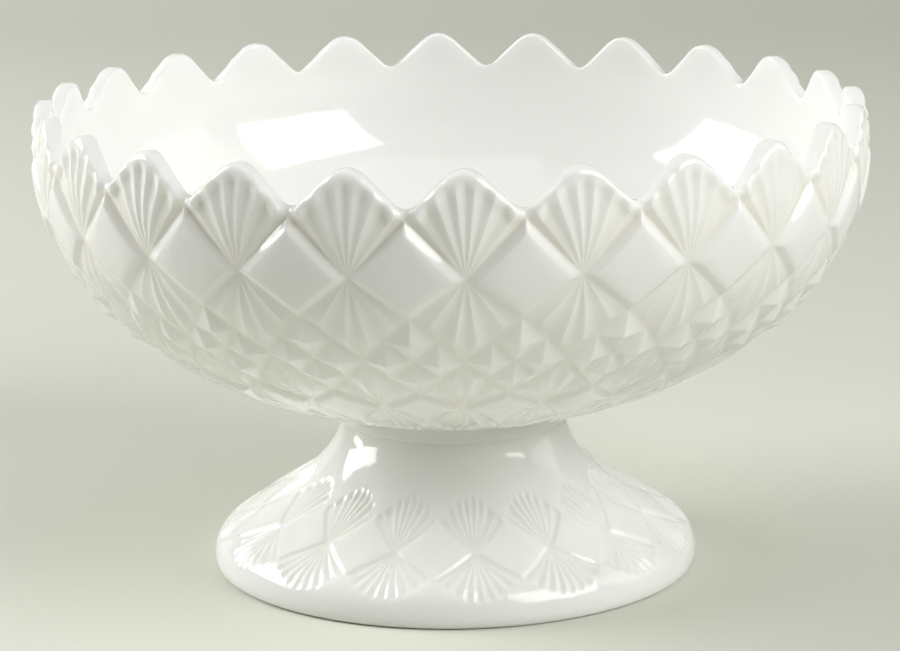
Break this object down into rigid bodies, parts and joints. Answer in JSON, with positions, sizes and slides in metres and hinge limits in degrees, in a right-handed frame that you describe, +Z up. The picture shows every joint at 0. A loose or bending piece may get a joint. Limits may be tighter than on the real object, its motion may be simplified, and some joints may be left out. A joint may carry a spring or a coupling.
{
  "type": "footed bowl",
  "caption": "Round footed bowl of pressed white opal glass with a scalloped rim and rows of fans and diamonds, on a flared hollow foot; holds a candle, fruit or flowers.",
  "frame": {"origin": "centre of the foot's base ring, on the table", "axes": "+Z up along the bowl's axis; -Y towards the front, where a fan of the bowl faces"},
  "size_m": [0.231, 0.231, 0.1332],
  "materials": {
    "opal_glass": "opaque white, fire-polished gloss"
  },
  "bodies": {
    "root": {"bowl": "opal_glass", "joining_wafer": "opal_glass", "foot": "opal_glass"}
  },
  "joints": []
}
